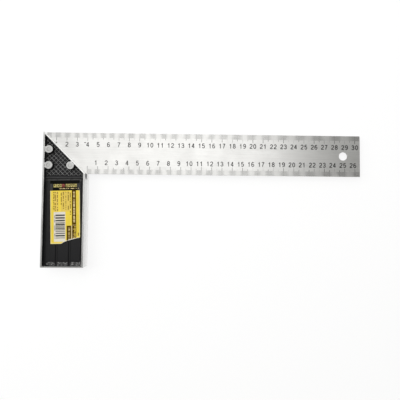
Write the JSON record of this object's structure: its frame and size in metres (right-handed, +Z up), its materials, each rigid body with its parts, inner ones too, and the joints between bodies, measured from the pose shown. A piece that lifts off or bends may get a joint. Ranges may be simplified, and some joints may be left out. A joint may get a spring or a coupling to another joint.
{
  "type": "steel square ruler",
  "caption": "L-shaped steel square: a graduated flat steel blade riveted at right angles into a thick cast stock with a 45 degree shoulder.",
  "frame": {"origin": "centre of the bounding box in plan, on the plane of the stock's lower rim, which the square lies on", "axes": "+X along the blade from the stock to the free end, +Y across the blade towards its outer edge, +Z up from the surface, out of the labelled face"},
  "size_m": [0.305, 0.129, 0.014],
  "materials": {
    "stock": "ground bright on its faces, rims and bosses, black paint in the cast pockets",
    "blade": "satin rule steel, brushed along its length, with black etched graduations",
    "rivets": "pressed flush and ground with the bosses",
    "label": "printed yellow film, slightly glossy"
  },
  "bodies": {
    "root": {"stock": "stock", "blade": "blade", "rivet_upper": "rivets", "rivet_lower": "rivets", "rivet_mitre": "rivets", "label": "label"}
  },
  "joints": []
}
